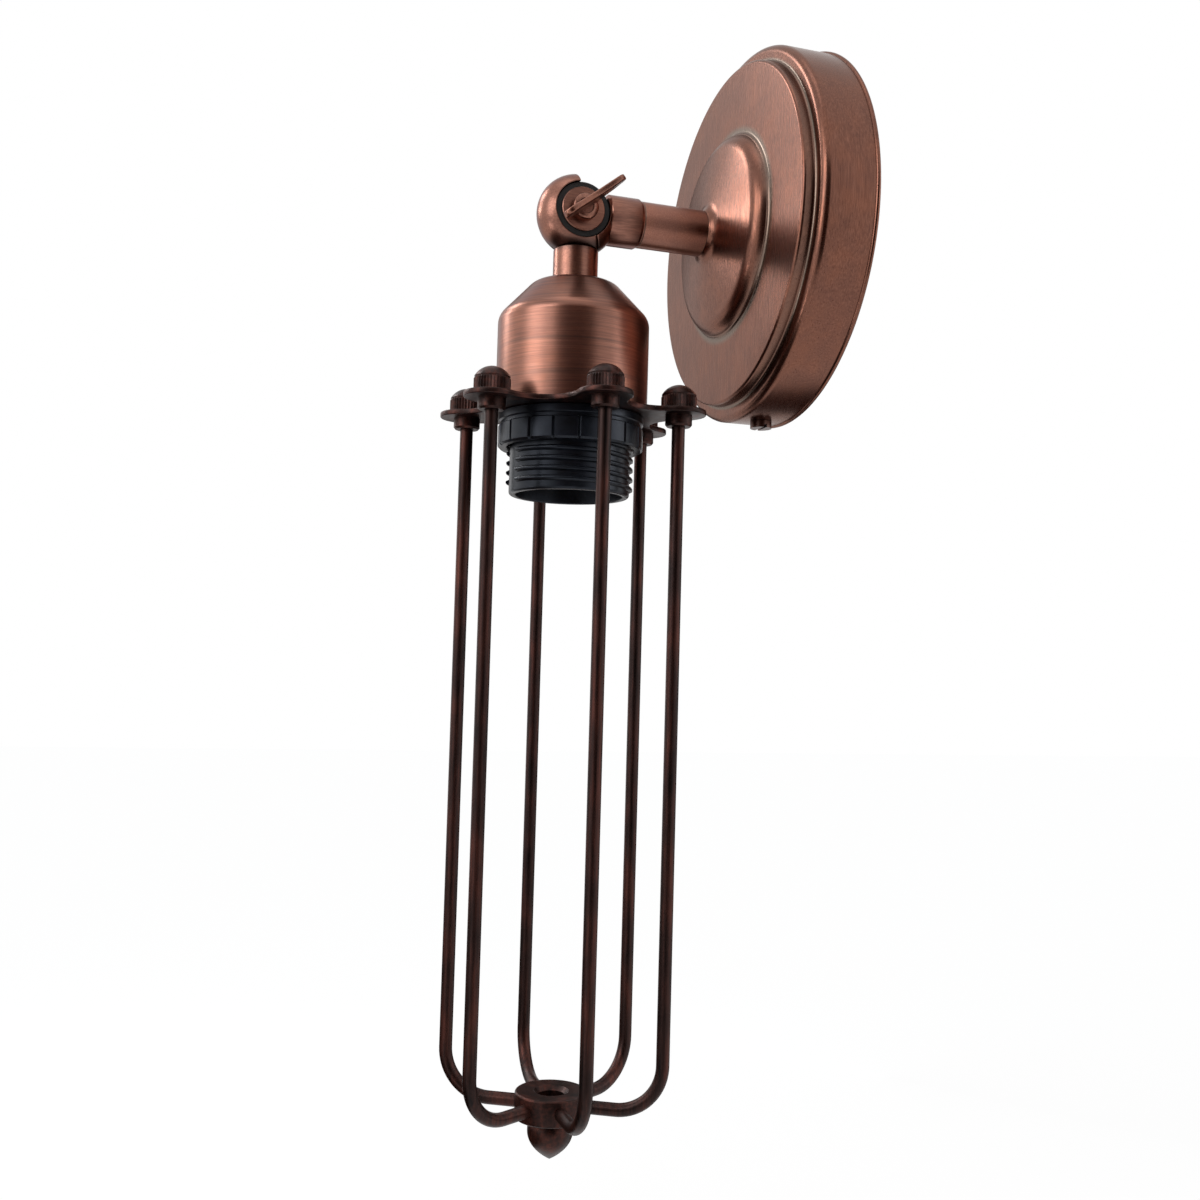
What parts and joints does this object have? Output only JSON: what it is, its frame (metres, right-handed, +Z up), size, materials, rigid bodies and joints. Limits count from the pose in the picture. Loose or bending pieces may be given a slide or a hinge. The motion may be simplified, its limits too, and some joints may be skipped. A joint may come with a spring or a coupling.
{
  "type": "cage wall light",
  "caption": "Adjustable wall light: round copper rose, short arm, tilting knuckle with a wing screw, copper cup over a screw lampholder, and an open cage of bent rods round the lamp.",
  "frame": {"origin": "centre of the rose's back plane, on the wall", "axes": "+Z up, +Y into the wall so that the arm reaches out along -Y, +X to the wing screw's side"},
  "size_m": [0.12, 0.1105, 0.35],
  "materials": {
    "antique_copper": "brushed, aged",
    "bright_copper": "satin",
    "dark_bronze": "oil-rubbed, satin",
    "zinc_steel": "satin",
    "bare_brass": "satin",
    "black_moulding": "satin",
    "white_moulding": "satin",
    "porcelain": "glazed",
    "fibre": "matt",
    "brown_insulation": "satin",
    "blue_insulation": "satin",
    "green_insulation": "satin"
  },
  "bodies": {
    "wall_base": {"wall_bracket": "zinc_steel", "wall_rose": "antique_copper", "rose_side_screws": "antique_copper", "terminal_block": "white_moulding", "terminal_screws": "bare_brass", "terminal_block_screw": "zinc_steel", "earth_screw": "bare_brass", "earth_lead": "green_insulation", "arm_nipple": "zinc_steel", "arm_washer": "zinc_steel", "arm_locknut": "bare_brass", "arm_tube": "antique_copper", "knuckle_arm": "antique_copper", "friction_ring": "fibre", "clamp_washer": "bright_copper", "lead_live_arm": "brown_insulation", "lead_neutral_arm": "blue_insulation"},
    "lamp_head": {"knuckle_head": "antique_copper", "head_nipple": "zinc_steel", "cup_washer": "zinc_steel", "cup_locknut": "bare_brass", "lampholder_cup": "antique_copper", "holder_cap": "black_moulding", "holder_skirt": "black_moulding", "contact_block": "porcelain", "screw_shell": "bare_brass", "centre_contact": "bare_brass", "side_contact": "bare_brass", "holder_terminals": "bare_brass", "holder_terminal_screws": "zinc_steel", "lead_live_head": "brown_insulation", "lead_neutral_head": "blue_insulation", "cage_collar": "dark_bronze", "cage_rod_1": "dark_bronze", "cage_rod_2": "dark_bronze", "cage_rod_3": "dark_bronze", "cage_rod_4": "dark_bronze", "cage_rod_5": "dark_bronze", "cage_rod_6": "dark_bronze", "dome_nuts": "dark_bronze", "ferrules": "dark_bronze", "cage_hub": "dark_bronze", "cage_finial": "dark_bronze"},
    "wing_screw": {"wing_screw": "antique_copper"},
    "shade_ring": {"shade_ring": "black_moulding"}
  },
  "joints": [
    {"name": "head_tilt", "type": "hinge", "parent": "wall_base", "child": "lamp_head", "pos_m": [0, -0.07301, 0], "axis": [-1, 0, 0], "range_deg": [0, 50]},
    {"name": "wing_screw_turn", "type": "hinge", "parent": "lamp_head", "child": "wing_screw", "pos_m": [0.0102, -0.07301, 0], "axis": [1, 0, 0], "range_deg": [0, 180]},
    {"name": "shade_ring_turn", "type": "hinge", "parent": "lamp_head", "child": "shade_ring", "pos_m": [0, -0.07301, -0.0688], "axis": [0, 0, -1], "range_deg": [0, 90]}
  ]
}
